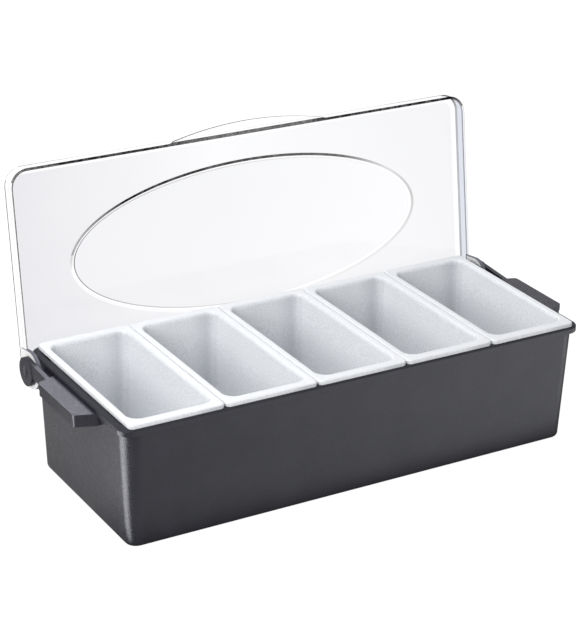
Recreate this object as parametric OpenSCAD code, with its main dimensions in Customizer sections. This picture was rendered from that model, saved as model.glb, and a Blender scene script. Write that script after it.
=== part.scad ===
// Condiment caddy: a black moulded tub that carries a row of white lift-out inserts
// under one clear lid. The lid swings on two pins at the rear of the ends, and when
// open it leans back until its short rear lip rests on the tub's back wall.
// Millimetres. X runs along the length, -Y is the front, +Z is up, and the origin is
// the middle of the tub's underside. The model stands with the lid open.

/* [Inserts] */
// Number of inserts in the row
insert_count = 5; // [2:1:7]
// Spacing of the inserts along the tub
insert_pitch = 74; // [60:0.5:92]
// Slit between neighbouring flanges
insert_gap = 0.4; // [0.2:0.1:1.5]
// Front to back size of an insert's flange
flange_depth = 152.6; // [120:0.2:190]
// Height of the flange's turned-down edge
flange_h = 3.6; // [2.8:0.1:6]
// Plan radius of the flange's corners
flange_corner_r = 4; // [3:0.5:8]
// Radius of the flange's upper edge
flange_edge_r = 1.4; // [0.6:0.1:2]
// Width of the flange beside the opening
flange_side_w = 4; // [3:0.25:6]
// Width of the flange in front of and behind the opening
flange_end_w = 6.5; // [5:0.25:10]
// Plan radius of the opening's corners
opening_r = 10; // [9:0.5:14]
// Thickness of an insert's walls
insert_wall = 1.8; // [1.2:0.1:2.6]
// Width of the rounding round the opening
shoulder_in = 1.8; // [0.5:0.1:2.4]
// Depth of the rounding round the opening
shoulder_h = 4; // [2:0.5:7]
// Draft of the wall from shoulder to floor
insert_draft = 2.6; // [1:0.1:3.6]
// Gap between an insert's underside and the tub's floor
under_insert_gap = 11; // [6:0.5:24]

/* [Tub] */
// Height of the rim's top above the underside
tub_h = 93.6; // [75:0.2:120]
// Thickness of the tub's walls
tub_wall = 2.6; // [2:0.1:3.4]
// Thickness of the tub's floor
tub_floor = 2.8; // [2:0.1:4]
// Plan radius of the tub's corners at the floor
tub_corner_r = 9; // [7:0.5:14]
// Radius of the edge under the walls
foot_fillet = 3.5; // [1:0.25:5]
// Outward lean of each wall from the floor to the rim
wall_flare = 3.9; // [1:0.1:6]
// Height of the rim band round the top
rim_h = 5; // [4:0.2:8]
// Plan radius of the rim's corners
rim_corner_r = 9.5; // [8:0.5:12]
// Radius of the rim's upper outer edge
rim_edge_r = 1.2; // [0.5:0.1:2]
// How far the rim stands out from the end walls
rim_end_lip = 2.8; // [1.5:0.1:3.5]
// How far the rim stands out from the long walls
rim_side_lip = 1; // [0.6:0.1:2]
// Ledge from the end flanges to the rim's outer edge
end_ledge = 5.7; // [4.5:0.1:9]
// Ledge from the flanges to the rim's front and rear edges
side_ledge = 1.2; // [0.8:0.1:3]

/* [Handles] */
// How far a handle stands out from the rim
handle_out = 15.2; // [11:0.2:24]
// Length of a handle's outer edge
handle_len = 59; // [40:1:72]
// Extra length of each end where it meets the tub
handle_slant = 5.3; // [2:0.1:9]
// Thickness of a handle
handle_h = 9.4; // [6:0.2:14]
// Place of the handle's middle, behind the tub's middle when positive
handle_y = -2.2; // [-10:0.2:4]
// Thickness of the handle's shell over the finger hollow
handle_shell = 2.8; // [2:0.1:4]

/* [Hinge] */
// Distance of the hinge axis in front of the lid's rear edge
hinge_inset = 15.8; // [13:0.1:18]
// Drop of the hinge axis below the rim's top
hinge_drop = 11.6; // [10:0.1:16]
// Radius of the disc at the end of a hinge arm
disc_r = 10.8; // [8:0.1:13]
// Thickness of a hinge arm
arm_t = 3.4; // [2:0.1:5]
// How far the disc stands out from the arm
disc_step = 0.4; // [0.2:0.1:1.5]
// Gap between the swinging ear and the web that carries the arm
web_gap = 1.5; // [0.5:0.1:4]
// Step from the handle's top down to the web's top
web_drop = 2; // [0:0.1:4]
// Diameter of a hinge pin's shaft
pin_d = 5; // [3:0.25:7]
// Diameter of a hinge pin's head
pin_head_d = 9; // [8:0.25:13]
// Thickness of a hinge pin's head
pin_head_h = 1.2; // [0.6:0.1:1.6]
// Radial clearance of a pin in the arm
pin_seat_clear = 0.02; // [0.01:0.01:0.05]
// Radial clearance of the lid's ears on the pins
pin_run_clear = 0.08; // [0.04:0.01:0.1]

/* [Lid] */
// Thickness of the clear panel
panel_t = 1.8; // [1.4:0.1:3.5]
// Thickness of the lid's skirt
skirt_t = 2.1; // [1.5:0.1:3]
// Depth of the skirt at the front and the ends, with the panel
skirt_h = 11.5; // [9:0.1:16]
// Clearance between skirt and rim all round
skirt_clear = 1.1; // [0.8:0.05:1.6]
// Gap between the closed lid's skirt and the handles
skirt_rest_gap = 0.4; // [0.2:0.05:1]
// Plan radius of the lid's corners
lid_corner_r = 14; // [11:0.5:15]
// Clearance of the swinging lid over the inserts' rear edges
swing_clear = 0.25; // [0.1:0.05:1]
// How far the open lid leans back past upright
lid_lean = 8.3; // [4:0.1:14]
// Gap between the open lid's lip and the back wall
stop_gap = 0.1; // [0.05:0.05:0.4]
// Radius of the lid's ears
ear_r = 14; // [9:0.1:15]
// Thickness of the lid's ears
ear_t = 3.2; // [2.4:0.1:5]
// How far an ear's plate runs up the skirt
ear_root = 5; // [3:0.5:7]
// Gap between an ear and the arm outside it
ear_gap = 0.3; // [0.2:0.05:0.8]
// Width of the grip tab at the lid's front edge
tab_w = 135; // [80:1:200]
// How far the grip tab stands out
tab_out = 8.1; // [4:0.1:12]
// Thickness of the grip tab
tab_t = 1.8; // [1.2:0.1:3]
// Half the length of the raised oval
oval_a = 148.4; // [60:0.2:160]
// Half the width of the raised oval
oval_b = 56.2; // [30:0.2:62]
// Shift of the oval from the lid's middle towards the front
oval_shift = 0.8; // [0:0.2:5]
// Height of the raised oval
oval_h = 1; // [0.4:0.1:1.4]

/* [Hidden] */
$fn = 64;
// Small overlap that joins two solids, and how far a cut runs past the face it opens
EPS = 0.01;
CUT = 1;
ARC_STEPS = 6;
OVAL_STEPS = 96;

row_len = insert_count * insert_pitch;
rim_len = row_len + 2 * end_ledge;
rim_depth = flange_depth + 2 * side_ledge;
tub_top_len = rim_len - 2 * rim_end_lip;
tub_top_depth = rim_depth - 2 * rim_side_lip;
tub_len = tub_top_len - 2 * wall_flare;
tub_depth = tub_top_depth - 2 * wall_flare;
wall_h = tub_h - rim_h;
flare_slope = wall_flare / wall_h;

lid_len = rim_len + 2 * (skirt_clear + skirt_t);
lid_depth = rim_depth + 2 * (skirt_clear + skirt_t);
hinge_y = lid_depth / 2 - hinge_inset;
hinge_z = tub_h - hinge_drop;
flange_top = tub_h + flange_h;

// The panel's underside clears the circle that the inserts' rear edges make about the hinge
swing_reach = norm([flange_depth / 2 - flange_edge_r - hinge_y,
                    flange_top - flange_edge_r - hinge_z]) + flange_edge_r + swing_clear;
lid_top = hinge_z + swing_reach + panel_t;
skirt_bottom = lid_top - skirt_h;

handle_top = skirt_bottom - skirt_rest_gap;
handle_bottom = handle_top - handle_h;
handle_root_x = rim_len / 2 - rim_end_lip - wall_flare;
handle_outer_x = rim_len / 2 + handle_out;
handle_step = 0.4;

ear_in_x = rim_len / 2 + skirt_clear;
ear_out_x = ear_in_x + ear_t;
arm_in_x = ear_out_x + ear_gap;
arm_out_x = arm_in_x + arm_t;
disc_out_x = arm_out_x + disc_step;
arm_root_y = handle_y + handle_len / 2;
web_end_y = hinge_y - ear_r - web_gap;
web_top = handle_top - web_drop;

// Height of the rear lip's lower edge above the hinge axis. Its outer corner is the part
// of the lid that comes to rest on the sloping back wall when the lid leans fully back.
lip_reach = (stop_gap + tub_depth / 2 + flare_slope * hinge_z - hinge_y
             + hinge_inset * (sin(lid_lean) - flare_slope * cos(lid_lean)))
            / (cos(lid_lean) + flare_slope * sin(lid_lean));
lid_swing = 90 + lid_lean;

flange_len = insert_pitch - insert_gap;
opening_len = flange_len - 2 * flange_side_w;
opening_depth = flange_depth - 2 * flange_end_w;
insert_bottom = tub_floor + under_insert_gap;
insert_fillet = 5;
flange_t = 1.8;
lid_edge_r = 1.2;

function arc(cx, cz, r, from, to) =
    [for (i = [0:ARC_STEPS]) let (a = from + (to - from) * i / ARC_STEPS)
        [cx + r * cos(a), cz + r * sin(a)]];

function ellipse(a, b) =
    [for (i = [0:OVAL_STEPS - 1]) let (t = 360 * i / OVAL_STEPS) [a * cos(t), b * sin(t)]];

// A solid block with a rounded rectangle's plan. The profile is a list of
// [distance out from the corner axes, height], from the bottom up.
module rounded_block(len, depth, corner_r, profile) {
    half_x = len / 2 - corner_r;
    half_y = depth / 2 - corner_r;
    low = profile[0][1];
    high = profile[len(profile) - 1][1];
    for (sx = [-1, 1], sy = [-1, 1])
        translate([sx * half_x, sy * half_y, 0])
            rotate_extrude()
                polygon(concat([[0, low]], profile, [[0, high]]));
    rotate([90, 0, 0])
        linear_extrude(2 * half_y, center = true)
            polygon(mirrored(profile, half_x));
    rotate([90, 0, 90])
        linear_extrude(2 * half_x, center = true)
            polygon(mirrored(profile, half_y));
}

function mirrored(profile, half) = concat(
    [for (p = profile) [half + p[0], p[1]]],
    [for (i = [len(profile) - 1:-1:0]) [-half - profile[i][0], profile[i][1]]]);

module tub_outer() {
    rounded_block(tub_len, tub_depth, tub_corner_r,
        concat(arc(tub_corner_r - foot_fillet, foot_fillet, foot_fillet, -90, 0),
               [[tub_corner_r + wall_flare, wall_h]]));
    rounded_block(rim_len, rim_depth, rim_corner_r,
        concat([[rim_corner_r, wall_h - EPS]],
               arc(rim_corner_r - rim_edge_r, tub_h - rim_edge_r, rim_edge_r, 0, 90)));
}

module tub_cavity() {
    inner_r = tub_corner_r - tub_wall;
    fillet = foot_fillet;
    top = tub_h + CUT;
    rounded_block(tub_len - 2 * tub_wall, tub_depth - 2 * tub_wall, inner_r,
        concat(arc(inner_r - fillet, tub_floor + fillet, fillet, -90, 0),
               [[inner_r + flare_slope * top, top]]));
}

// Plan of one handle, at the right-hand end
module handle_plan(inset) {
    half = handle_len / 2 - inset;
    root = half + handle_slant + inset * handle_slant / handle_out;
    polygon([[handle_root_x, handle_y - root], [rim_len / 2, handle_y - root],
             [handle_outer_x - inset, handle_y - half], [handle_outer_x - inset, handle_y + half],
             [rim_len / 2, handle_y + root], [handle_root_x, handle_y + root]]);
}

module handle() {
    half_h = handle_h / 2;
    translate([0, 0, handle_top - half_h])
        linear_extrude(half_h)
            handle_plan(0);
    translate([0, 0, handle_bottom])
        linear_extrude(half_h)
            handle_plan(handle_step);
}

// Finger hollow under one handle
module handle_hollow() {
    translate([0, 0, handle_bottom - CUT])
        linear_extrude(handle_h - handle_shell + CUT)
            intersection() {
                handle_plan(handle_shell);
                translate([rim_len / 2, handle_y - handle_len])
                    square([handle_out, 2 * handle_len]);
            }
}

// Arm from the rear of one handle to the hinge disc
module hinge_arm() {
    translate([arm_in_x, 0, 0])
        rotate([90, 0, 90])
            linear_extrude(arm_t)
                polygon([[arm_root_y, handle_top], [hinge_y, hinge_z + disc_r],
                         [hinge_y, handle_bottom], [arm_root_y, handle_bottom]]);
    on_hinge_axis(arm_in_x) cylinder(r = disc_r, h = arm_t + disc_step);
    translate([handle_root_x, arm_root_y, handle_bottom])
        cube([arm_in_x - handle_root_x + EPS, web_end_y - arm_root_y, web_top - handle_bottom]);
}

// Puts a shape that stands on the XY plane onto the hinge axis, pointing outwards
module on_hinge_axis(x) {
    translate([x, hinge_y, hinge_z]) rotate([0, 90, 0]) children();
}

module arm_bore() {
    on_hinge_axis(arm_in_x - CUT)
        cylinder(d = pin_d + 2 * pin_seat_clear, h = arm_t + 2 * CUT);
    on_hinge_axis(disc_out_x - pin_head_h)
        cylinder(d = pin_head_d + 2 * pin_seat_clear, h = pin_head_h + CUT);
}

module both_ends() {
    children();
    mirror([1, 0, 0]) children();
}

module tub() {
    color("#2b2a2e")
        difference() {
            union() {
                tub_outer();
                both_ends() {
                    handle();
                    hinge_arm();
                }
            }
            tub_cavity();
            both_ends() {
                handle_hollow();
                arm_bore();
            }
        }
}

// Outline of an insert's wall at a distance outside its inner face, up to the rounding
function wall_profile(out, bottom) =
    let (floor_r = opening_r - shoulder_in - insert_draft + out,
         fillet = insert_fillet + out)
    concat(arc(floor_r - fillet, bottom + fillet, fillet, -90, 0),
           [[opening_r - shoulder_in + out, flange_top - shoulder_h]]);

module insert_outer() {
    rounded_block(opening_len, opening_depth, opening_r,
        concat(wall_profile(insert_wall, insert_bottom),
               [[opening_r - shoulder_in + insert_wall, flange_top - flange_t / 2]]));
}

module insert_hollow() {
    rounding = [for (i = [1:ARC_STEPS]) let (a = 90 * i / ARC_STEPS)
        [opening_r - shoulder_in * cos(a), flange_top - shoulder_h * (1 - sin(a))]];
    rounded_block(opening_len, opening_depth, opening_r,
        concat(wall_profile(0, insert_bottom + insert_wall), rounding,
               [[opening_r, flange_top + EPS]]));
}

module flange() {
    difference() {
        rounded_block(flange_len, flange_depth, flange_corner_r,
            concat([[flange_corner_r, tub_h]],
                   arc(flange_corner_r - flange_edge_r, flange_top - flange_edge_r,
                       flange_edge_r, 0, 90)));
        translate([0, 0, -CUT])
            rounded_block(flange_len - 2 * flange_t, flange_depth - 2 * flange_t,
                flange_corner_r - flange_t,
                [[flange_corner_r - flange_t, tub_h],
                 [flange_corner_r - flange_t, flange_top - flange_t + CUT]]);
    }
}

module insert(i) {
    color("#f1f2f2")
        translate([(i - (insert_count + 1) / 2) * insert_pitch, 0, 0])
            difference() {
                union() {
                    flange();
                    insert_outer();
                }
                insert_hollow();
            }
}

// The lid in its closed place
module lid_shell() {
    inner_r = lid_corner_r - skirt_t;
    rear_lip_bottom = hinge_z + lip_reach;
    difference() {
        rounded_block(lid_len, lid_depth, lid_corner_r,
            concat([[lid_corner_r, skirt_bottom]],
                   arc(lid_corner_r - lid_edge_r, lid_top - lid_edge_r, lid_edge_r, 0, 90)));
        rounded_block(lid_len - 2 * skirt_t, lid_depth - 2 * skirt_t, inner_r,
            [[inner_r, skirt_bottom - CUT], [inner_r, lid_top - panel_t]]);
        translate([-lid_len, lid_depth / 2 - lid_corner_r, skirt_bottom - CUT])
            cube([2 * lid_len, lid_corner_r + CUT, rear_lip_bottom - skirt_bottom + CUT]);
    }
}

// Segment of a disc that stands out from the front skirt's lower edge
module grip_tab() {
    tab_r = (pow(tab_w / 2, 2) + pow(tab_out, 2)) / (2 * tab_out);
    front = lid_depth / 2;
    intersection() {
        translate([0, tab_r - front - tab_out, skirt_bottom])
            cylinder(r = tab_r, h = tab_t, $fn = 360);
        translate([-tab_w / 2, -front - tab_out - CUT, skirt_bottom])
            cube([tab_w, tab_out + CUT + skirt_t / 2, tab_t]);
    }
}

module ear() {
    on_hinge_axis(ear_in_x) cylinder(r = ear_r, h = ear_t);
    translate([ear_in_x, hinge_y - ear_r, hinge_z])
        cube([ear_t, 2 * ear_r, skirt_bottom + ear_root - hinge_z]);
}

module raised_oval(a, b, z) {
    translate([0, -oval_shift, z])
        linear_extrude(oval_h + EPS)
            polygon(ellipse(a, b));
}

module closed_lid() {
    difference() {
        union() {
            lid_shell();
            grip_tab();
            raised_oval(oval_a, oval_b, lid_top - EPS);
            both_ends() ear();
        }
        raised_oval(oval_a - panel_t, oval_b - panel_t, lid_top - panel_t - EPS);
        both_ends()
            on_hinge_axis(ear_in_x - CUT)
                cylinder(d = pin_d + 2 * pin_run_clear, h = ear_t + 2 * CUT);
    }
}

module lid() {
    color("#dfe6ea", 0.35)
        translate([0, hinge_y, hinge_z])
            rotate([-lid_swing, 0, 0])
                translate([0, -hinge_y, -hinge_z])
                    closed_lid();
}

module hinge_pin() {
    color("#232226") {
        on_hinge_axis(ear_in_x) cylinder(d = pin_d, h = disc_out_x - ear_in_x);
        on_hinge_axis(disc_out_x - pin_head_h) cylinder(d = pin_head_d, h = pin_head_h);
    }
}

tub();
for (i = [1:insert_count])
    insert(i);
lid();
mirror([1, 0, 0]) hinge_pin();  // hinge_pin_left
hinge_pin();  // hinge_pin_right
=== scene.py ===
"""Condiment caddy: a black tub with a row of white inserts under one clear lid."""
import math

import bmesh
import bpy
from mathutils import Matrix, Vector


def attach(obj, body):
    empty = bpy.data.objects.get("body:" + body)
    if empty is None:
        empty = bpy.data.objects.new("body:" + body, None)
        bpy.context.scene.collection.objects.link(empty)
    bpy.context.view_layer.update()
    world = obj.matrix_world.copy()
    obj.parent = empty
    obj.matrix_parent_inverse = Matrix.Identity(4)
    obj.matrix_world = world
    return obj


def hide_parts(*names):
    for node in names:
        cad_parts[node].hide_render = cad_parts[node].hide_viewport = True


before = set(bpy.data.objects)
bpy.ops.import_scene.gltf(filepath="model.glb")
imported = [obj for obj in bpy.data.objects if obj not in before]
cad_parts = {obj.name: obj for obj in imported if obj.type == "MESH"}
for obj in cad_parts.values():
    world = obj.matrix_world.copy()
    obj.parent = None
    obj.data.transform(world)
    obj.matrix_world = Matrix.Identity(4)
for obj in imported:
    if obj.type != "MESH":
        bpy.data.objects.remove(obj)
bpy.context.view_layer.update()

MM = 0.001
STEP = 0.02  # level difference, in mm, that tells two nested outlines apart

# Sizes in millimetres, the same as the frame's. A plan is (length, depth, corner radius),
# and the caddy's right-hand end is at +X.
INSERTS = 5
PITCH = 74.0
FLANGE = (73.6, 152.6, 4.0)
FLANGE_TOP = 97.2
OPENING = (65.6, 139.6, 10.0)
RIM = (381.4, 155.0, 9.5)
TUB_H = 93.6
WALL_TOP = 88.6
FLOOR_PLAN = (368.0, 145.2, 9.0)
FLARE = 3.9  # how far each wall leans out by its top
WALL = 2.6
TUB_FLOOR = 2.8
HANDLE_TOP = 90.59
HANDLE_H = 9.4
HANDLE_Y = -2.2
GRIP_FROM = 184.0  # inside the end wall, so that grip and wall merge
GRIP_TO = 205.9
HINGE = (64.9, 82.0)  # y and z of the hinge's line
ARM = (195.3, 198.7)  # the arm plate's two faces
DISC_R = 10.8
DISC_OUT = 199.1  # outer face of the disc and of the pin's head
HEAD_FROM = 197.9
EAR_FROM = 191.8
LID_PLAN = (387.8, 161.4, 14.0)
LID_TOP = 102.49
SKIRT_BOTTOM = 90.99
PANEL_T = 1.8
SKIRT_T = 2.1
LIP_H = 1.1  # height of the lip inside the skirt's rim
OVAL = (148.4, 56.2, -0.8)  # half length, half depth and y of its middle
OVAL_H = 1.0
TAB_ROOT = 0.7  # width of the dark line where the grip tab joins the skirt
LEAN = 98.3  # degrees from the closed lid to the open one


# ---------------------------------------------------------------- modelling helpers
def leave():
    """Goes back to object mode."""
    if bpy.context.mode != "OBJECT":
        bpy.ops.object.mode_set(mode="OBJECT")


def choose(obj):
    """Makes obj the active and the only selected object."""
    leave()
    bpy.ops.object.select_all(action="DESELECT")
    bpy.context.view_layer.objects.active = obj
    obj.select_set(True)


def edit(obj):
    """Enters edit mode on obj alone."""
    choose(obj)
    bpy.ops.object.mode_set(mode="EDIT")


def new_piece(name):
    """An empty mesh object at the origin, in edit mode."""
    leave()
    obj = bpy.data.objects.new(name, bpy.data.meshes.new(name))
    bpy.context.scene.collection.objects.link(obj)
    edit(obj)
    return obj


def pick(obj, **tests):
    """Selects in edit mode what passes a test, given as verts=, edges= or faces=."""
    bm = bmesh.from_edit_mesh(obj.data)
    bpy.ops.mesh.select_all(action="DESELECT")
    for kind, mode in (("verts", "VERT"), ("edges", "EDGE"), ("faces", "FACE")):
        if kind in tests:
            bpy.ops.mesh.select_mode(type=mode)
            for element in getattr(bm, kind):
                element.select_set(bool(tests[kind](element)))
    bm.select_flush_mode()
    bmesh.update_edit_mesh(obj.data)


def bridge(obj, first, second):
    """Joins two loops of edges, each told by a test on its vertices."""
    pick(obj, edges=lambda e: all(first(v) for v in e.verts) or all(second(v) for v in e.verts))
    bpy.ops.mesh.bridge_edge_loops()


def close_loop(obj, test):
    """Fills a loop of edges, told by a test on its vertices, with one face."""
    pick(obj, edges=lambda e: all(test(v) for v in e.verts))
    bpy.ops.mesh.edge_face_add()


def off_outline(co, length, depth, radius):
    """Signed distance in mm of a point from a rounded rectangle, negative inside it."""
    qx = abs(co.x) / MM - (length / 2 - radius)
    qy = abs(co.y) / MM - (depth / 2 - radius)
    return math.hypot(max(qx, 0), max(qy, 0)) + min(max(qx, qy), 0) - radius


def add_outline(length, depth, radius, z, steps):
    """Adds a rounded rectangle of edges to the mesh in edit mode."""
    bpy.ops.mesh.select_mode(type="VERT")
    bpy.ops.mesh.select_all(action="DESELECT")
    bpy.ops.mesh.primitive_plane_add(size=MM, location=(0, 0, z * MM))
    bpy.ops.transform.resize(value=(length, depth, 1), center_override=(0, 0, z * MM))
    bpy.ops.mesh.bevel(offset=radius * MM, segments=steps, affect="VERTICES")
    bpy.ops.mesh.delete(type="ONLY_FACE")


def at_height(v, z):
    """True where a vertex is within 0.002 mm of a height."""
    return abs(v.co.z / MM - z) < 2e-3


def on_level(v, level):
    """True for a vertex of one of the loft's outlines."""
    return at_height(v, level[3]) and abs(off_outline(v.co, *level[:3])) < 0.02


def loft(obj, levels, steps=8, capped=True):
    """A skin over rounded rectangles, each (length, depth, corner radius, height)."""
    for level in levels:
        add_outline(*level, steps)
    for low, high in zip(levels, levels[1:]):
        bridge(obj, lambda v: on_level(v, low), lambda v: on_level(v, high))
    if capped:
        close_loop(obj, lambda v: on_level(v, levels[0]))
        close_loop(obj, lambda v: on_level(v, levels[-1]))


def grown(plan, out, z):
    """A level that lies a distance outside a plan."""
    return (plan[0] + 2 * out, plan[1] + 2 * out, plan[2] + out, z)


def bend(plan, out, z, radius, start, stop, count=5):
    """Levels along an arc about (out, z), from start to stop degrees."""
    turns = [math.radians(start + (stop - start) * i / count) for i in range(count + 1)]
    return [grown(plan, out + radius * math.cos(a), z + radius * math.sin(a)) for a in turns]


def modify(obj, kind, **settings):
    """Adds a modifier with its settings and applies it."""
    choose(obj)
    mod = obj.modifiers.new(kind.title(), kind)
    for key, value in settings.items():
        setattr(mod, key, value)
    bpy.ops.object.modifier_apply(modifier=mod.name)


def combine(obj, other, operation="UNION"):
    """Adds or cuts away another solid, which is then gone."""
    modify(obj, "BOOLEAN", operation=operation, object=other, solver="EXACT")
    bpy.data.objects.remove(other)


def outward(obj):
    """Merges doubles, turns every face outwards and leaves edit mode."""
    edit(obj)
    bpy.ops.mesh.select_all(action="SELECT")
    bpy.ops.mesh.remove_doubles(threshold=1e-6)
    bpy.ops.mesh.normals_make_consistent(inside=False)
    leave()


def smooth(obj, degrees=35):
    """Smooth shading that keeps flat faces flat."""
    choose(obj)
    bpy.ops.object.shade_smooth_by_angle(angle=math.radians(degrees))
    modify(obj, "WEIGHTED_NORMAL", mode="FACE_AREA", weight=90, keep_sharp=True)


def soften(obj, width):
    """Rounds the sharp edges by a width in mm, then shades smoothly."""
    modify(obj, "BEVEL", width=width * MM, segments=2, limit_method="ANGLE",
           angle_limit=math.radians(40))
    smooth(obj)


def block(name, low, high):
    """A box between two corners, in mm."""
    obj = new_piece(name)
    centre = [(a + b) / 2 * MM for a, b in zip(low, high)]
    bpy.ops.mesh.primitive_cube_add(size=MM, location=centre)
    bpy.ops.transform.resize(value=[b - a for a, b in zip(low, high)], center_override=centre)
    leave()
    return obj


def rod(name, radius, x_from, x_to, steps=48):
    """A round bar along the hinge's line, in mm."""
    obj = new_piece(name)
    bpy.ops.mesh.primitive_cylinder_add(
        vertices=steps, radius=radius * MM, depth=abs(x_to - x_from) * MM,
        location=((x_from + x_to) / 2 * MM, HINGE[0] * MM, HINGE[1] * MM),
        rotation=(0, math.pi / 2, 0))
    leave()
    return obj


def other_end(obj, name):
    """A copy for the left end, mirrored across the middle."""
    twin = obj.copy()
    twin.data = obj.data.copy()
    twin.name = name
    bpy.context.scene.collection.objects.link(twin)
    edit(twin)
    bpy.ops.mesh.select_all(action="SELECT")
    bpy.ops.transform.resize(value=(-1, 1, 1), center_override=(0, 0, 0))
    bpy.ops.mesh.normals_make_consistent(inside=False)
    leave()
    return twin


# ---------------------------------------------------------------- tub
def tub_shell():
    """The open tray: a skin up the outside, over the rim and down the inside."""
    obj = new_piece("tub_shell")
    foot, lip, rim_edge, mouth = 3.5, 0.4, 1.2, 0.5
    mouth_out = FLARE / WALL_TOP * TUB_H - WALL + mouth
    levels = bend(FLOOR_PLAN, -foot, foot, foot, -90, 0)
    levels.append(grown(FLOOR_PLAN, FLARE, WALL_TOP))
    levels += bend(RIM, -lip, WALL_TOP + lip, lip, -90, 0, 2)
    levels += bend(RIM, -rim_edge, TUB_H - rim_edge, rim_edge, 0, 90, 4)
    levels += bend(FLOOR_PLAN, mouth_out, TUB_H - mouth, mouth, 90, 180, 2)
    levels += bend(FLOOR_PLAN, -WALL - foot, TUB_FLOOR + foot, foot, 0, -90)
    loft(obj, levels)
    outward(obj)
    return obj


def wedge(name, inset, x_from, low, high, corner):
    """A block with the grip's tapered plan, a distance inside it, in mm."""
    root_half, end_half, taper_from, x_to = 34.8 - inset, 29.5 - inset, 190.7, GRIP_TO - inset
    obj = block(name, (x_from, HANDLE_Y - root_half, low), (x_to, HANDLE_Y + root_half, high))
    edit(obj)
    bpy.ops.mesh.select_all(action="SELECT")
    bpy.ops.mesh.bisect(plane_co=(taper_from * MM, 0, 0), plane_no=(1, 0, 0))

    def at_end(v):
        return v.co.x / MM > x_to - 0.1

    pick(obj, verts=at_end)
    bpy.ops.transform.resize(value=(1, end_half / root_half, 1),
                             center_override=(0, HANDLE_Y * MM, 0))
    pick(obj, edges=lambda e: all(at_end(v) for v in e.verts)
         and abs(e.verts[0].co.z - e.verts[1].co.z) > 2 * MM)
    bpy.ops.mesh.bevel(offset=corner * MM, segments=4)
    outward(obj)
    return obj


def handle(name):
    """One grip: a shelf with a stepped lower half and a finger hollow."""
    bottom = HANDLE_TOP - HANDLE_H
    step, shell, overlap = 0.4, 2.8, 1.0
    obj = wedge(name, 0, GRIP_FROM, HANDLE_TOP - HANDLE_H / 2, HANDLE_TOP, corner=1.8)
    lower = wedge("lower_half", step, GRIP_FROM + step, bottom, HANDLE_TOP - overlap, corner=1.5)
    combine(obj, lower)
    hollow = wedge("hollow", shell, GRIP_FROM + shell, bottom - 2 * overlap, HANDLE_TOP - shell,
                   corner=1.0)
    combine(obj, hollow, "DIFFERENCE")
    return obj


def arm(name):
    """Arm plate from the grip's rear end to the hinge."""
    y_from, bottom, inset = 27.3, HANDLE_TOP - HANDLE_H, 0.05
    obj = block(name, (ARM[0], y_from, bottom + inset), (ARM[1], HINGE[0], HINGE[1] + DISC_R))
    edit(obj)
    pick(obj, verts=lambda v: v.co.y / MM < y_from + 0.1 and v.co.z / MM > bottom + 5)
    drop = HANDLE_TOP - inset - HINGE[1] - DISC_R
    bpy.ops.transform.translate(value=(0, 0, drop * MM))
    outward(obj)
    return obj


def tub():
    """Tray, grips, arms and hinge discs as one moulding."""
    obj = tub_shell()
    end = handle("grip")
    combine(end, arm("arm"))
    web_low = (GRIP_FROM, 27.4, HANDLE_TOP - HANDLE_H + 0.1)
    web_high = (ARM[0] + 0.1, 49.4, HANDLE_TOP - 2)
    combine(end, block("web", web_low, web_high))
    combine(end, rod("disc", DISC_R, ARM[0], DISC_OUT, 64))
    seat_r, seat_to = 4.52, 201.0
    combine(end, rod("seat", seat_r, HEAD_FROM, seat_to, 64), "DIFFERENCE")
    twin = other_end(end, "grip_left")
    combine(obj, end)
    combine(obj, twin)
    edit(obj)
    bpy.ops.mesh.select_all(action="SELECT")
    bpy.ops.mesh.remove_doubles(threshold=2e-6)
    bpy.ops.mesh.dissolve_limited(angle_limit=math.radians(0.3))
    leave()
    soften(obj, 0.4)
    return obj


# ---------------------------------------------------------------- inserts
def insert_piece(name):
    """One cup: a skin up the outside, round the flange and down the inside."""
    obj = new_piece(name)
    wall, floor_z, draft, fillet = 1.8, 15.6, 2.6, 5.0
    shoulder_w, shoulder_h = 1.8, 4.0
    flange_t, edge_r, foot = 1.8, 1.4, 0.3
    body = shoulder_w + draft
    levels = bend(OPENING, -body - fillet, floor_z + fillet, fillet + wall, -90, 0)
    levels += [
        grown(OPENING, 0, FLANGE_TOP - shoulder_h),
        grown(OPENING, 0, FLANGE_TOP - flange_t),
        grown(FLANGE, -flange_t, FLANGE_TOP - flange_t - STEP),
        grown(FLANGE, -flange_t, TUB_H + STEP),
        grown(FLANGE, -foot, TUB_H),
        grown(FLANGE, 0, TUB_H + foot),
    ]
    levels += bend(FLANGE, -edge_r, FLANGE_TOP - edge_r, edge_r, 0, 90)
    for degrees in range(90, -1, -15):
        turn = math.radians(degrees)
        levels.append(grown(OPENING, -shoulder_w * math.cos(turn),
                            FLANGE_TOP - STEP - (shoulder_h - STEP) * (1 - math.sin(turn))))
    levels += bend(OPENING, -body - fillet, floor_z + fillet, fillet, 0, -90)
    loft(obj, levels)
    outward(obj)
    smooth(obj)
    return obj


# ---------------------------------------------------------------- lid
def add_ellipse(a, b, y, z):
    """Adds an ellipse of edges, given its half axes and place in mm."""
    bpy.ops.mesh.select_mode(type="VERT")
    bpy.ops.mesh.select_all(action="DESELECT")
    bpy.ops.mesh.primitive_circle_add(vertices=144, radius=MM, location=(0, y * MM, z * MM))
    bpy.ops.transform.resize(value=(a, b, 1), center_override=(0, y * MM, z * MM))


def on_ellipse(v, ring):
    """True for a vertex of one of the oval's rings."""
    a, b, y, z = ring
    return at_height(v, z) and abs(math.hypot(v.co.x / MM / a, (v.co.y / MM - y) / b) - 1) < 1e-3


def oval_depth(x, y):
    """How far in mm a point near the oval's outline lies inside it."""
    a, b, middle = OVAL
    share = math.hypot(x / a, (y - middle) / b)
    return (1 - share) / math.hypot(x / a ** 2, (y - middle) / b ** 2) * share


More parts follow.
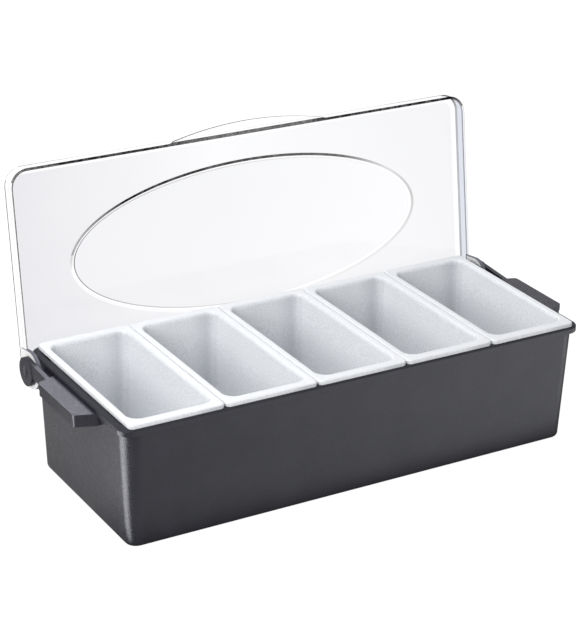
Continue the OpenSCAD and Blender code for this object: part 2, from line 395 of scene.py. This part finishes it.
# The lid's slots are one clear styrene: clear, oval and side with a painted shade in the tint,
# plain a lit copy with almost none, and the rim, edge, lip and ring slots with painted dark
# reflections; ear is the frosted styrene.
SLOTS = ("clear", "oval", "plain", "side", "rim", "far_edge", "tab_edge", "lip", "ring_out",
         "ring_in", "ear", "ear_edge")
# Bands of the oval's step, in mm inwards from its outline
OVAL_FOOT = (-0.7, 1.2)
OVAL_SLOPE = (1.1, 2.6)
OVAL_BROW = (2.55, 3.35)
OVAL_TOP = 3.2


def lid_slot(face):
    """Which of the lid's finishes and painted lights a face has, told from its place on the
    closed lid.
    """
    x, y, z = face.center / MM
    out = off_outline(face.center, *LID_PLAN)
    inward = oval_depth(x, y)
    underside = z < LID_TOP - 0.6
    ear_x, skirt_x, side_x = 191.5, 194, 190
    end_x, end_y, lip_out, margin_out = 150, -72, -1.72, -6.15
    left = x < -end_x and y > end_y
    right = x > end_x and y > end_y
    # the painted dark reflection on the rim is wide along the free edge, only a thin outer
    # line at the right end and an inner line at the left end
    rim = out < -0.98 if left else out > (-0.4 if right else lip_out)
    bend_out = -1.25 if x > end_x else -1.0 if left else -0.6
    if abs(x) > ear_x and (z < SKIRT_BOTTOM - 0.1 or abs(x) > skirt_x):
        name = "ear" if abs(face.normal.x) > 0.5 else "ear_edge"
    elif y < -LID_PLAN[1] / 2 - TAB_ROOT:
        name = "tab_edge" if abs(face.normal.z) < 0.5 else "plain"
    elif z < SKIRT_BOTTOM + 0.4 and rim:
        name = "rim"
    elif z < SKIRT_BOTTOM + LIP_H and out < lip_out:
        name = "lip"
    elif z > LID_TOP - 1.25 and out > bend_out:
        name = "far_edge"
    elif x > side_x and abs(face.normal.x) > 0.5:
        name = "side"
    elif out > margin_out:
        name = "plain"
    elif underside and OVAL_FOOT[0] < inward < OVAL_FOOT[1]:
        name = "ring_out"
    elif underside and OVAL_BROW[0] < inward < OVAL_BROW[1]:
        name = "ring_in"
    elif OVAL_SLOPE[0] < inward < OVAL_SLOPE[1]:
        name = "plain"
    elif inward > OVAL_TOP:
        name = "oval"
    else:
        name = "clear"
    return SLOTS.index(name)


def raise_oval(obj, level, base, crown):
    """Steps one face of the panel up to the oval, from its last outline, and closes it."""
    a, b, y = OVAL
    inside_frame = 0.98
    steps = ((0.8, 2 * crown), (-1.3, 0.3), (-2.5, 0.8), (-3.4, OVAL_H))
    rings = [(a + out, b + out, y, base + rise * inside_frame) for out, rise in steps]
    for ring in rings:
        add_ellipse(*ring)
    bridge(obj, lambda v: on_level(v, level), lambda v: on_ellipse(v, rings[0]))
    for outer, inner in zip(rings, rings[1:]):
        bridge(obj, lambda v: on_ellipse(v, outer), lambda v: on_ellipse(v, inner))
    close_loop(obj, lambda v: on_ellipse(v, rings[-1]))


def lid_shell():
    """Panel, skirt and raised oval as one closed skin, with the lid shut."""
    obj = new_piece("lid_cover")
    inside = grown(LID_PLAN, -SKIRT_T, 0)[:3]
    lip, edge_r, fillet, margin = 0.35, 1.2, 0.8, 4.0
    crown = 0.04  # rise of the panel's last outline: nearer ones are bridged crosswise
    under = LID_TOP - PANEL_T
    levels = [grown(inside, -margin, under + crown), grown(inside, -fillet, under)]
    levels += bend(inside, -fillet, under - fillet, fillet, 60, 0, 2)
    levels += [
        grown(inside, 0, SKIRT_BOTTOM + LIP_H),
        grown(inside, 0, SKIRT_BOTTOM + lip),
        grown(inside, lip, SKIRT_BOTTOM + 2 * STEP),
        grown(LID_PLAN, -1.7, SKIRT_BOTTOM + STEP),
        grown(LID_PLAN, -1.0, SKIRT_BOTTOM + STEP / 2),
    ]
    levels += bend(LID_PLAN, -lip, SKIRT_BOTTOM + lip, lip, -90, 0, 2)
    levels += bend(LID_PLAN, -edge_r, LID_TOP - edge_r, edge_r, 0, 90)
    levels.append(grown(LID_PLAN, -margin - SKIRT_T, LID_TOP + crown))
    loft(obj, levels, steps=12, capped=False)
    raise_oval(obj, levels[0], under, crown)
    raise_oval(obj, levels[-1], LID_TOP, crown)
    outward(obj)
    return obj


def grip_tab():
    """Shallow tab on the free edge: the front of a wide disc."""
    width, out, thick = 135.0, 8.1, 1.8
    front = LID_PLAN[1] / 2
    radius = ((width / 2) ** 2 + out ** 2) / (2 * out)
    obj = new_piece("tab")
    bpy.ops.mesh.primitive_circle_add(
        vertices=720, radius=radius * MM, fill_type="NGON",
        location=(0, (radius - front - out) * MM, (SKIRT_BOTTOM + 0.05) * MM))
    bpy.ops.mesh.bisect(plane_co=(0, (-front + SKIRT_T / 2) * MM, 0), plane_no=(0, 1, 0),
                        use_fill=False, clear_outer=True)
    pick(obj, faces=lambda f: True)
    bpy.ops.mesh.extrude_region_move(TRANSFORM_OT_translate={"value": (0, 0, thick * MM)})
    bpy.ops.mesh.select_all(action="SELECT")
    bpy.ops.mesh.bisect(plane_co=(0, (-front - TAB_ROOT) * MM, 0), plane_no=(0, 1, 0))
    outward(obj)
    return obj


def lid_ear(name):
    """The ear at the right-hand end, with the bore for its pin."""
    thick, radius, bore_r, spare = 3.2, 14.0, 2.58, 1
    ear_to = EAR_FROM + thick
    obj = rod(name, radius, EAR_FROM, ear_to, 96)
    combine(obj, block("plate", (EAR_FROM, HINGE[0] - radius, HINGE[1]),
                       (ear_to, HINGE[0] + radius, SKIRT_BOTTOM + 5)))
    combine(obj, rod("bore", bore_r, EAR_FROM - spare, ear_to + spare), "DIFFERENCE")
    return obj


def lid():
    """Clear lid, modelled closed and then leaned back about its hinge."""
    obj = lid_shell()
    # the rear skirt is cut short, because it leans past the tub's wall
    rear_opening = block("rear_opening", (-250, 66.7, 80), (250, 100, 95.07))
    combine(obj, rear_opening, "DIFFERENCE")
    combine(obj, grip_tab())
    ear = lid_ear("ear")
    twin = other_end(ear, "ear_left")
    combine(obj, ear)
    combine(obj, twin)
    outward(obj)
    for face in obj.data.polygons:
        face.material_index = lid_slot(face)
    to_hinge = Matrix.Translation((0, HINGE[0] * MM, HINGE[1] * MM))
    lean = Matrix.Rotation(math.radians(-LEAN), 4, "X")
    obj.data.transform(to_hinge @ lean @ to_hinge.inverted())
    smooth(obj, 30)
    return obj


def hinge_pin(name):
    """Pin through the ear, with its head in the seat of the disc."""
    obj = rod(name, 2.5, EAR_FROM, DISC_OUT)
    combine(obj, rod("head", 4.5, HEAD_FROM, DISC_OUT))
    soften(obj, 0.3)
    return obj


# ---------------------------------------------------------------- materials
def linear(hex_colour):
    """sRGB hex to linear RGBA."""
    parts = [int(hex_colour[i:i + 2], 16) / 255 for i in (1, 3, 5)]
    return [c / 12.92 if c <= 0.04045 else ((c + 0.055) / 1.055) ** 2.4 for c in parts] + [1]


def grey(level):
    """A linear RGBA grey."""
    return (level, level, level, 1)


def add(tree, kind, settings=None, stops=(), **inputs):
    """Adds a node with its settings, its ramp's stops (place, colour) and its inputs.

    An input is named as its socket, or _0, _1, ... by number. A socket is linked to it,
    and anything else is set on it.
    """
    made = tree.nodes.new("ShaderNode" + kind)
    for key, value in (settings or {}).items():
        setattr(made, key, value)
    if stops:
        ramp = made.color_ramp.elements
        while len(ramp) < len(stops):
            ramp.new(0.5)
        for stop, (place, colour) in zip(ramp, stops):
            stop.position = place
            stop.color = colour
    for key, value in inputs.items():
        socket = made.inputs[int(key[1:]) if key[1:].isdigit() else key.replace("_", " ")]
        if isinstance(value, bpy.types.NodeSocket):
            tree.links.new(value, socket)
        else:
            socket.default_value = value
    return made


def material(name):
    """A new material and its empty node tree."""
    mat = bpy.data.materials.new(name)
    mat.use_nodes = True
    mat.node_tree.nodes.clear()
    return mat, mat.node_tree


# A noise scale is in cells per metre: 1000 gives a grain of 1 mm.
def black_abs():
    # Injection-moulded black ABS from a spark-eroded mould: a satin skin with a fine even
    # grain, a little greyer in patches 25 mm wide, unevenly glossy where the grain is worn,
    # and matt along the rim's top where the inserts rub on it. The real grain, about
    # 0.2 mm, is too fine to show, so it is drawn at 0.9 mm.
    mat, tree = material("black_abs_moulded_satin")
    place = add(tree, "TexCoord").outputs["Object"]
    grain = add(tree, "TexNoise", Vector=place, Scale=1150.0, Detail=2.0).outputs["Fac"]
    cloud = add(tree, "TexNoise", Vector=place, Scale=40.0, Detail=3.0).outputs["Fac"]
    tone = add(tree, "ValToRGB", stops=((0.35, linear("#1c1c24")), (0.7, linear("#23232b"))),
               Fac=cloud)
    worn = add(tree, "TexNoise", Vector=place, Scale=150.0, Detail=4.0).outputs["Fac"]
    mixed = add(tree, "Math", {"operation": "MULTIPLY_ADD"}, _0=worn, _1=0.3, _2=grain)
    height = add(tree, "SeparateXYZ", Vector=place).outputs["Z"]
    ledge = add(tree, "MapRange", Value=height, From_Min=0.0918, From_Max=0.0926, To_Max=0.45)
    skin_rough = add(tree, "MapRange", Value=mixed.outputs[0], From_Min=0.4, From_Max=0.9,
                     To_Min=0.2, To_Max=0.44)
    rough = add(tree, "Math", _0=skin_rough.outputs["Result"], _1=ledge.outputs["Result"])
    bump = add(tree, "Bump", Height=grain, Strength=0.9, Distance=0.00015)
    skin = add(tree, "BsdfPrincipled", Base_Color=tone.outputs["Color"],
               Roughness=rough.outputs[0], Normal=bump.outputs["Normal"], IOR=1.54,
               Specular_Tint=(0.93, 0.94, 1.0, 1))
    add(tree, "OutputMaterial", Surface=skin.outputs["BSDF"])
    return mat


def white_pp():
    # Moulded white polypropylene: smooth and faintly waxy on the flange, with a fine
    # frosted grain over the walls. The real grain is too fine to show, so it is drawn at
    # 1.1 mm.
    mat, tree = material("white_polypropylene_moulded")
    place = add(tree, "TexCoord").outputs["Object"]
    grain = add(tree, "TexNoise", Vector=place, Scale=900.0, Detail=3.0).outputs["Fac"]
    frost = add(tree, "ValToRGB", stops=((0.38, linear("#dee0e3")), (0.62, linear("#eff1f4"))),
                Fac=grain)
    # Painted shade darkens each cup's walls towards the upright corners: a narrow one in the
    # bend itself, and a soft one along both end walls, which deepens to the right.
    faces = add(tree, "SeparateXYZ", Vector=add(tree, "TexCoord").outputs["Normal"])
    turned = add(tree, "Math", {"operation": "MULTIPLY"}, _0=faces.outputs["X"],
                 _1=faces.outputs["Y"])
    turned = add(tree, "Math", {"operation": "ABSOLUTE"}, _0=turned.outputs[0])
    # painted shade in the bend of each upright corner
    corner = add(tree, "MapRange", {"interpolation_type": "SMOOTHSTEP"},
                 Value=turned.outputs[0], From_Min=0.02, From_Max=0.5, To_Max=0.25)
    axes = add(tree, "SeparateXYZ", Vector=place)
    pitches = add(tree, "Math", {"operation": "MULTIPLY_ADD"}, _0=axes.outputs["X"],
                  _1=1 / (PITCH * MM), _2=0.5)
    across = add(tree, "Math", {"operation": "FRACT"}, _0=pitches.outputs[0])
    depth = add(tree, "MapRange", {"interpolation_type": "SMOOTHSTEP"},
                Value=across.outputs[0], From_Min=0.6, From_Max=0.9, To_Min=0.12, To_Max=0.55)
    facing = add(tree, "Math", {"operation": "ABSOLUTE"}, _0=faces.outputs["Y"])
    facing = add(tree, "Math", {"operation": "POWER"}, _0=facing.outputs[0], _1=2.0)
    # painted shade along both end walls, deeper towards each cup's right
    painted_end_shade = add(tree, "Math", {"operation": "MULTIPLY"}, _0=depth.outputs["Result"],
                   _1=facing.outputs[0])
    shade = add(tree, "Math", {"operation": "MAXIMUM"}, _0=corner.outputs["Result"],
                _1=painted_end_shade.outputs[0])
    # the walls' colour darkened by the painted shade
    walls = add(tree, "MixRGB", _0=shade.outputs[0], _1=frost.outputs["Color"],
                _2=linear("#a4a8ad"))
    flange = add(tree, "MapRange", Value=axes.outputs["Z"], From_Min=0.0962, From_Max=0.0971)
    tone = add(tree, "MixRGB", _0=flange.outputs["Result"], _1=walls.outputs["Color"],
               _2=linear("#dfe1e4"))
    bump = add(tree, "Bump", Height=grain, Strength=0.2, Distance=0.00015)
    skin = add(tree, "BsdfPrincipled", Base_Color=tone.outputs["Color"], Roughness=0.38,
               Normal=bump.outputs["Normal"], IOR=1.49)
    add(tree, "OutputMaterial", Surface=skin.outputs["BSDF"])
    return mat


def clear_styrene(name, left, middle, right):
    # Clear moulded styrene with polished faces: light goes straight through the thin wall,
    # and the surface mirrors more of the room the flatter it is seen. A painted shade, given as
    # three tints from left to right, greys what is seen through it, and faint waves 70 mm long
    # bend what it mirrors.
    mat, tree = material(name)
    place = add(tree, "TexCoord").outputs["Object"]
    wave = add(tree, "TexNoise", Vector=place, Scale=14.0, Detail=2.0).outputs["Fac"]
    along = add(tree, "SeparateXYZ", Vector=place).outputs["X"]
    drift = add(tree, "Math", {"operation": "MULTIPLY_ADD"}, _0=wave, _1=0.05, _2=along)
    side = add(tree, "MapRange", Value=drift.outputs[0], From_Min=-0.19, From_Max=0.2)
    # painted shade: three tints from left to right for what is seen through
    painted_shade_tint = add(tree, "ValToRGB",
               stops=((0.0, linear(left)), (0.5, linear(middle)), (1.0, linear(right))),
               Fac=side.outputs["Result"])
    bump = add(tree, "Bump", Height=wave, Strength=0.05, Distance=0.001)
    through = add(tree, "BsdfTransparent", Color=painted_shade_tint.outputs["Color"])
    gloss = add(tree, "BsdfGlossy", Color=grey(1), Roughness=0.03,
                Normal=bump.outputs["Normal"])
    flat = add(tree, "LayerWeight", Blend=0.5).outputs["Facing"]
    flat = add(tree, "Math", {"operation": "POWER"}, _0=flat, _1=5.0)
    much = add(tree, "MapRange", Value=flat.outputs[0], To_Min=0.012, To_Max=0.45)
    both = add(tree, "MixShader", _0=much.outputs[0], _1=through.outputs[0],
               _2=gloss.outputs[0])
    add(tree, "OutputMaterial", Surface=both.outputs[0])
    return mat


def edge(name, colour, cover):
    # Edge or bend of clear styrene with a painted dark reflection: the dark of the room that it
    # would gather into a line is painted on as a matt dark colour. How much of it is dark
    # follows the direction seen from the middle of the lid, in degrees anticlockwise from the
    # right-hand end, with the lid's rise stretched towards its length.
    mat, tree = material(name)
    middle_z, stretch = 0.152, 2.6
    place = add(tree, "TexCoord").outputs["Object"]
    grain = add(tree, "TexNoise", Vector=place, Scale=260.0, Detail=2.0).outputs["Fac"]
    axes = add(tree, "SeparateXYZ", Vector=place)
    rise = add(tree, "Math", {"operation": "SUBTRACT"}, _0=axes.outputs["Z"], _1=middle_z)
    rise = add(tree, "Math", {"operation": "MULTIPLY"}, _0=rise.outputs[0], _1=stretch)
    turn = add(tree, "Math", {"operation": "ARCTAN2"}, _0=rise.outputs[0],
               _1=axes.outputs["X"])
    share = add(tree, "MapRange", Value=turn.outputs[0], From_Min=-math.pi, From_Max=math.pi)
    stops = [((degrees + 180) / 360, grey(amount)) for degrees, amount in cover]
    line = add(tree, "ValToRGB", stops=stops, Fac=share.outputs["Result"])
    broken = add(tree, "MapRange", Value=grain, From_Min=0.3, From_Max=0.6, To_Min=0.9,
                 To_Max=1.0)
    much = add(tree, "Math", {"operation": "MULTIPLY"}, _0=line.outputs["Color"],
               _1=broken.outputs["Result"])
    through = add(tree, "BsdfTransparent", Color=grey(1))
    dark = add(tree, "BsdfDiffuse", Color=linear(colour))
    both = add(tree, "MixShader", _0=much.outputs[0], _1=through.outputs[0],
               _2=dark.outputs[0])
    add(tree, "OutputMaterial", Surface=both.outputs[0])
    return mat


def frosted_styrene():
    # The same styrene where the mould is textured: milky white, hardly seen through. The
    # texture is drawn at 2 mm, coarser than the real one, to show.
    mat, tree = material("styrene_frosted_ear")
    place = add(tree, "TexCoord").outputs["Object"]
    grain = add(tree, "TexNoise", Vector=place, Scale=500.0, Detail=2.0).outputs["Fac"]
    milk = add(tree, "BsdfPrincipled", Base_Color=linear("#ffffff"), Roughness=0.25)
    through = add(tree, "BsdfTransparent", Color=linear("#f2f2f8"))
    much = add(tree, "MapRange", Value=grain, To_Min=0.88, To_Max=1.0)
    both = add(tree, "MixShader", _0=much.outputs["Result"], _1=through.outputs[0],
               _2=milk.outputs[0])
    add(tree, "OutputMaterial", Surface=both.outputs[0])
    return mat


# ---------------------------------------------------------------- build
BLACK = black_abs()
WHITE = white_pp()
# the copies of the lid's clear styrene differ only in their painted shade, given as tints
CLEAR = clear_styrene("clear_styrene_polished_painted_shade", "#eeeef0", "#f9f9fa", "#f6f6f7")
LID_FINISHES_AND_PAINTED_LIGHT = {
    "clear": CLEAR,
    "oval": clear_styrene("clear_styrene_oval_panel_painted_shade", "#f3f3f5", "#f6f6f7", "#fafafb"),
    "plain": clear_styrene("clear_styrene_margin_lit_copy", "#ffffff", "#ffffff", "#fcfcfd"),
    "side": clear_styrene("clear_styrene_skirt_end_painted_shade", "#ffffff", "#ffffff", "#edeff4"),
    # painted dark reflections on the edges, bends, lip and rings of the clear styrene
    "rim": edge("styrene_rim_edge_painted_reflection", "#101014",
                ((-180, 0.72), (-30, 0.5), (40, 0.7), (46, 1.0), (68, 1.0), (76, 0.88),
                 (104, 0.88), (112, 1.0), (130, 1.0), (138, 0.8))),
    "far_edge": edge("styrene_outer_bend_painted_reflection", "#26262b",
                     ((-180, 1.0), (-20, 0.45), (38, 0.5), (44, 1.0), (52, 1.0), (58, 0.4),
                      (125, 0.4), (134, 1.0))),
    "tab_edge": edge("styrene_tab_edge_painted_reflection", "#26262b", ((0, 1.0), (90, 1.0))),
    "lip": edge("styrene_rim_lip_painted_reflection", "#50505a", ((-180, 0.6), (150, 0.8))),
    "ring_out": edge("styrene_oval_bend_outer_painted_reflection", "#121215",
                     ((-176, 0.3), (-168, 0.0), (-90, 0.04), (-45, 0.15), (0, 0.4), (25, 0.25),
                      (50, 0.9), (140, 1.0), (165, 0.6))),
    "ring_in": edge("styrene_oval_bend_inner_painted_reflection", "#2c2c32",
                    ((-178, 0.8), (-150, 0.6), (-110, 0.35), (-60, 0.0), (20, 0.0),
                     (90, 0.25), (150, 0.5), (176, 0.75))),
    "ear": frosted_styrene(),
    "ear_edge": edge("styrene_ear_edge_painted_reflection", "#6a6a75", ((0, 0.8), (90, 0.8))),
}


def finish_piece(obj, finishes, body, node):
    """Gives a piece its finishes, one for each of its face slots, and its place."""
    slots = [face.material_index for face in obj.data.polygons]
    obj.data.materials.clear()
    for mat in finishes:
        obj.data.materials.append(mat)
    obj.data.polygons.foreach_set("material_index", slots)
    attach(obj, body)
    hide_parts(node)


finish_piece(tub(), [BLACK], "base", "tub")
pattern = insert_piece("insert_cup_1")
for number in range(1, INSERTS + 1):
    cup = pattern
    if number < INSERTS:
        cup = pattern.copy()
        cup.data = pattern.data.copy()
        bpy.context.scene.collection.objects.link(cup)
    cup.name = f"cup_{number}"
    shift = (number - (INSERTS + 1) / 2) * PITCH * MM
    cup.data.transform(Matrix.Translation((shift, 0, 0)))
    finish_piece(cup, [WHITE], f"insert_{number}", f"insert_{number}")
finish_piece(lid(), [LID_FINISHES_AND_PAINTED_LIGHT[key] for key in SLOTS], "lid", "lid")
pin = hinge_pin("pin_right")
finish_piece(other_end(pin, "pin_left"), [BLACK], "base", "hinge_pin_left")
finish_piece(pin, [BLACK], "base", "hinge_pin_right")

# The frame's own solids stay hidden, in the same finishes
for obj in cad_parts.values():
    obj.data.materials.clear()
    obj.data.materials.append(
        CLEAR if obj.name == "lid" else WHITE if obj.name.startswith("insert") else BLACK)


# ---------------------------------------------------------------- stage
def stage_floor():
    """Pale floor that keeps the shadow, with a painted glow that mirrors see darker or brighter
    by place.
    """
    leave()
    bpy.ops.object.select_all(action="DESELECT")
    bpy.ops.mesh.primitive_plane_add(size=12, location=(0, 0, -0.0003))
    obj = bpy.context.object
    obj.name = "floor"
    mat, tree = material("pale_paper_sweep_painted_reflection")
    path = add(tree, "LightPath").outputs
    place = add(tree, "SeparateXYZ", Vector=add(tree, "TexCoord").outputs["Object"])
    # painted reflection in front of the tub: dim at the left, brighter towards the right
    across = add(tree, "MapRange", Value=place.outputs["X"], From_Min=-0.25, From_Max=0.4,
                 To_Min=0.38, To_Max=1.65)
    near = add(tree, "MapRange", Value=place.outputs["Y"], From_Min=-0.075, From_Max=-0.098,
               To_Min=0.1)
    ahead = add(tree, "Math", {"operation": "MULTIPLY"}, _0=across.outputs["Result"],
                _1=near.outputs["Result"])
    # painted reflection beside its left end: brightest some way off the wall
    reach = add(tree, "MapRange", Value=place.outputs["X"], From_Min=-0.29, From_Max=-0.19)
    strip = add(tree, "ValToRGB",
                stops=((0.28, grey(0.05)), (0.46, grey(0.65)), (1.0, grey(0.42))),
                Fac=reach.outputs["Result"])
    left = add(tree, "MapRange", Value=place.outputs["X"], From_Min=0.1, From_Max=0.0,
               To_Min=0.15)
    beside = add(tree, "Math", {"operation": "MULTIPLY"}, _0=strip.outputs["Color"],
                 _1=left.outputs["Result"])
    front = add(tree, "MapRange", Value=place.outputs["Y"], From_Min=0.0, From_Max=-0.07)
    shade = add(tree, "Mix", _0=front.outputs["Result"], _2=beside.outputs[0],
                _3=ahead.outputs[0])
    # a painted bright fan off the left front corner, which paints the highlight down that corner
    # of the tub, and fades out 0.5 to 0.65 m left of the middle
    corner_x, corner_y, fan_turn = -0.188, -0.074, 0.4
    away = add(tree, "Math", {"operation": "SUBTRACT"}, _0=corner_x, _1=place.outputs["X"])
    fore = add(tree, "Math", {"operation": "SUBTRACT"}, _0=corner_y, _1=place.outputs["Y"])
    turn = add(tree, "Math", {"operation": "ARCTAN2"}, _0=fore.outputs[0],
               _1=away.outputs[0])
    off = add(tree, "Math", _0=turn.outputs[0], _1=fan_turn)
    off = add(tree, "Math", {"operation": "ABSOLUTE"}, _0=off.outputs[0])
    fan = add(tree, "MapRange", {"interpolation_type": "SMOOTHSTEP"}, Value=off.outputs[0],
              From_Min=0.55, From_Max=0.3, To_Min=0.0, To_Max=6.0)
    close = add(tree, "MapRange", Value=place.outputs["X"], From_Min=-0.65, From_Max=-0.5)
    fan = add(tree, "Math", {"operation": "MULTIPLY"}, _0=fan.outputs["Result"],
              _1=close.outputs["Result"])
    # all of the painted reflection, which only a mirror sees
    painted_reflection = add(tree, "Math", _0=shade.outputs[0], _1=fan.outputs[0])
    seen = add(tree, "Math", {"operation": "MAXIMUM"}, _0=path["Is Camera Ray"],
               _1=path["Is Transmission Ray"])
    glow = add(tree, "MapRange", Value=seen.outputs[0], To_Min=0.6, To_Max=0.97)
    glow = add(tree, "Mix", _0=path["Is Glossy Ray"], _2=glow.outputs["Result"],
               _3=painted_reflection.outputs[0])
    paper = add(tree, "BsdfDiffuse", Color=grey(0.12))
    light = add(tree, "Emission", Color=grey(1), Strength=glow.outputs[0])
    both = add(tree, "AddShader", _0=paper.outputs[0], _1=light.outputs[0])
    add(tree, "OutputMaterial", Surface=both.outputs[0])
    obj.data.materials.append(mat)


def sky():
    """White to the camera, a soft even fill, and a painted room with one broad light for
    mirrors.
    """
    world = bpy.data.worlds.new("studio")
    bpy.context.scene.world = world
    world.use_nodes = True
    tree = world.node_tree
    tree.nodes.clear()
    path = add(tree, "LightPath").outputs
    around = add(tree, "TexCoord").outputs["Generated"]
    height = add(tree, "SeparateXYZ", Vector=around).outputs["Z"]
    room = add(tree, "ValToRGB", stops=((0.15, grey(1)), (0.42, (0.2, 0.2, 0.22, 1))),
               Fac=height)
    # the broad light is a painted reflection, which diffuse light doesn't see: it is far behind,
    # a little to the right
    toward = add(tree, "VectorMath", {"operation": "DOT_PRODUCT"}, _0=around,
                 _1=Vector((0.27, 0.86, 0.46)).normalized())
    soft = add(tree, "MapRange", {"interpolation_type": "SMOOTHSTEP"},
               Value=toward.outputs["Value"], From_Min=0.954, From_Max=0.997, To_Min=0.0,
               To_Max=13.0)
    soft = add(tree, "Math", _0=soft.outputs["Result"], _1=1.0)
    # the painted room and broad light that only mirrors see
    painted_reflection = add(tree, "Background", Color=room.outputs["Color"], Strength=soft.outputs[0])
    white = add(tree, "Background", Color=grey(1), Strength=1.0)
    fill = add(tree, "Background", Color=grey(1), Strength=0.48)
    mirror = add(tree, "Math", {"operation": "MAXIMUM"}, _0=path["Is Glossy Ray"],
                 _1=path["Is Transmission Ray"])
    unseen = add(tree, "MixShader", _0=mirror.outputs[0], _1=fill.outputs[0],
                 _2=painted_reflection.outputs[0])
    last = add(tree, "MixShader", _0=path["Is Camera Ray"], _1=unseen.outputs[0],
               _2=white.outputs[0])
    add(tree, "OutputWorld", Surface=last.outputs[0])


def lamp(name, place, target, size, watts):
    """A rectangular soft light, which the camera doesn't see."""
    data = bpy.data.lights.new(name, "AREA")
    data.shape = "RECTANGLE"
    data.size, data.size_y = size
    data.energy = watts
    obj = bpy.data.objects.new(name, data)
    bpy.context.scene.collection.objects.link(obj)
    obj.location = place
    obj.rotation_euler = (Vector(target) - Vector(place)).to_track_quat("-Z", "Y").to_euler()
    obj.visible_camera = False


def three_quarter_camera():
    """Camera to the left of the front and above; frame_px is the frame's longer side."""
    azimuth, elevation, roll = (math.radians(a) for a in (-30.483, 23.734, 1.059))
    focal_px, frame_px, sensor_mm = 2173.58, 640, 36
    back = Vector((math.sin(azimuth) * math.cos(elevation),
                   -math.cos(azimuth) * math.cos(elevation), math.sin(elevation)))
    right = Vector((math.cos(azimuth), math.sin(azimuth), 0))
    up = back.cross(right)
    right, up = (math.cos(roll) * right + math.sin(roll) * up,
                 -math.sin(roll) * right + math.cos(roll) * up)
    lens = bpy.data.cameras.new("camera")
    lens.sensor_width = sensor_mm
    lens.lens = focal_px * sensor_mm / frame_px
    lens.clip_start, lens.clip_end = 0.05, 50
    camera = bpy.data.objects.new("camera", lens)
    bpy.context.scene.collection.objects.link(camera)
    camera.matrix_world = Matrix((right, up, back)).transposed().to_4x4()
    camera.location = (-0.75332, -1.25225, 0.74936)
    bpy.context.scene.camera = camera


stage_floor()
sky()
lamp("key_left", (-0.95, -0.5, 0.6), (0, 0, 0.06), (0.4, 0.5), 7.2)
lamp("top", (-0.2, 0.0, 1.4), (0, 0, 0.05), (1.2, 0.8), 10.5)
three_quarter_camera()
bpy.context.scene.view_settings.view_transform = "Standard"
